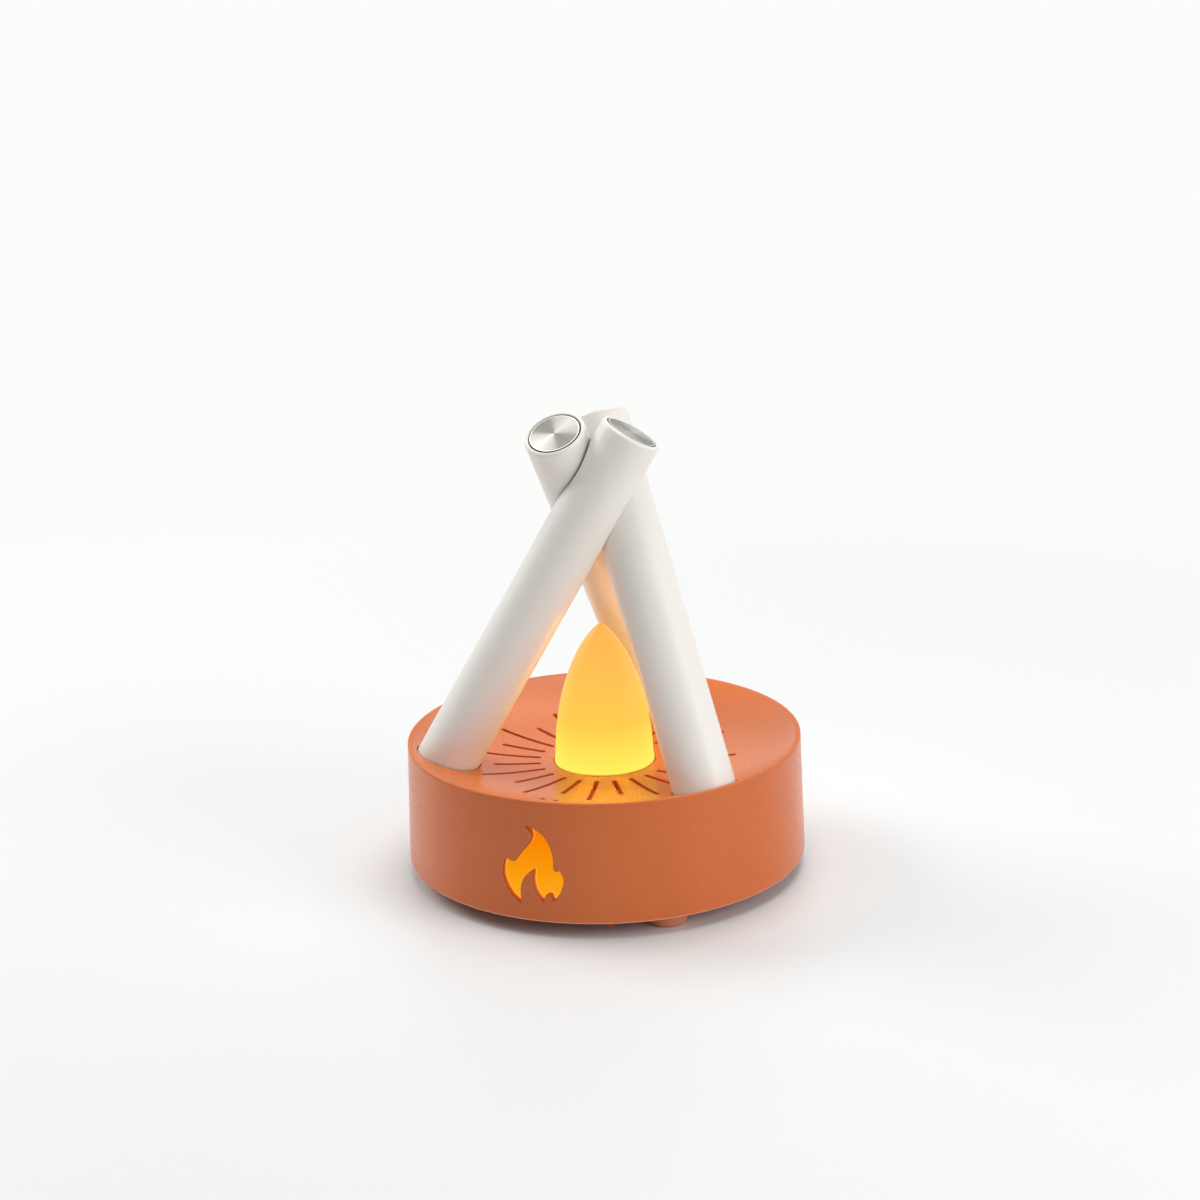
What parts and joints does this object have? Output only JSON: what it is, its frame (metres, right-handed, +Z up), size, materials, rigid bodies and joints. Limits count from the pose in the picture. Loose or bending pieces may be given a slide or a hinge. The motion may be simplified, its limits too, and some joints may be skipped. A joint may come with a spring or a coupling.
{
  "type": "campfire night light",
  "caption": "Table night light shaped like a campfire: dished round base with radial slots and a flame window, crossed logs with push buttons in their ends, bullet-shaped lamp.",
  "frame": {"origin": "on the floor under the centre of the round base, on the lamp's axis", "axes": "+Z up along the lamp's axis, -Y out through the flame window, +X to the right seen from the window's side"},
  "size_m": [0.1218, 0.1218, 0.1423],
  "materials": {
    "housing_plastic": "terracotta, fine matte texture",
    "cover_plastic": "darker terracotta, matte",
    "foot_rubber": "brown, matte",
    "log_plastic": "warm white, satin",
    "lamp_plastic": "translucent, frosted, lit from inside",
    "window_plastic": "translucent amber, lit from behind",
    "spun_metal": "spun, circular grain",
    "black_plastic": "black, matte",
    "steel": "zinc plated",
    "circuit_board": "green solder mask",
    "mesh_cloth": "fine dark mesh",
    "cone_paper": "dark paper",
    "cell_wrap": "grey shrink wrap"
  },
  "bodies": {
    "base": {"base_housing": "housing_plastic", "bottom_cover": "cover_plastic", "foot_front_left": "foot_rubber", "foot_front_right": "foot_rubber", "foot_rear_left": "foot_rubber", "foot_rear_right": "foot_rubber", "cover_screw_front_left": "steel", "cover_screw_front_right": "steel", "cover_screw_rear_left": "steel", "cover_screw_rear_right": "steel", "lamp_diffuser": "lamp_plastic", "lamp_board": "circuit_board", "lamp_retainer": "black_plastic", "lamp_screw_1": "steel", "lamp_screw_2": "steel", "lamp_screw_3": "steel", "grille_mesh": "mesh_cloth", "microphone_board": "circuit_board", "flame_window_lens": "window_plastic", "window_light_board": "circuit_board", "speaker_basket": "steel", "speaker_cone": "cone_paper", "speaker_magnet": "steel", "battery": "cell_wrap", "main_board": "circuit_board", "board_screw_left": "steel", "board_screw_right": "steel", "charging_socket": "steel", "log_a": "log_plastic", "log_b": "log_plastic", "log_c": "log_plastic", "button_switch_a": "circuit_board", "button_switch_b": "circuit_board", "button_switch_c": "circuit_board", "log_screw_a": "steel", "log_screw_b": "steel", "log_screw_c": "steel"},
    "button_a": {"button_disc_a": "spun_metal", "button_plunger_a": "log_plastic"},
    "button_b": {"button_disc_b": "spun_metal", "button_plunger_b": "log_plastic"},
    "button_c": {"button_disc_c": "spun_metal", "button_plunger_c": "log_plastic"}
  },
  "joints": [
    {"name": "button_a_press", "type": "slide", "parent": "base", "child": "button_a", "axis": [-0.4697, -0.1804, -0.8642], "range_m": [0, 0.0008], "stiffness_N_per_m": 600, "springref_m": -0.001},
    {"name": "button_b_press", "type": "slide", "parent": "base", "child": "button_b", "axis": [0.3911, -0.3165, -0.8642], "range_m": [0, 0.0008], "stiffness_N_per_m": 600, "springref_m": -0.001},
    {"name": "button_c_press", "type": "slide", "parent": "base", "child": "button_c", "axis": [0.0786, 0.497, -0.8642], "range_m": [0, 0.0008], "stiffness_N_per_m": 600, "springref_m": -0.001}
  ]
}
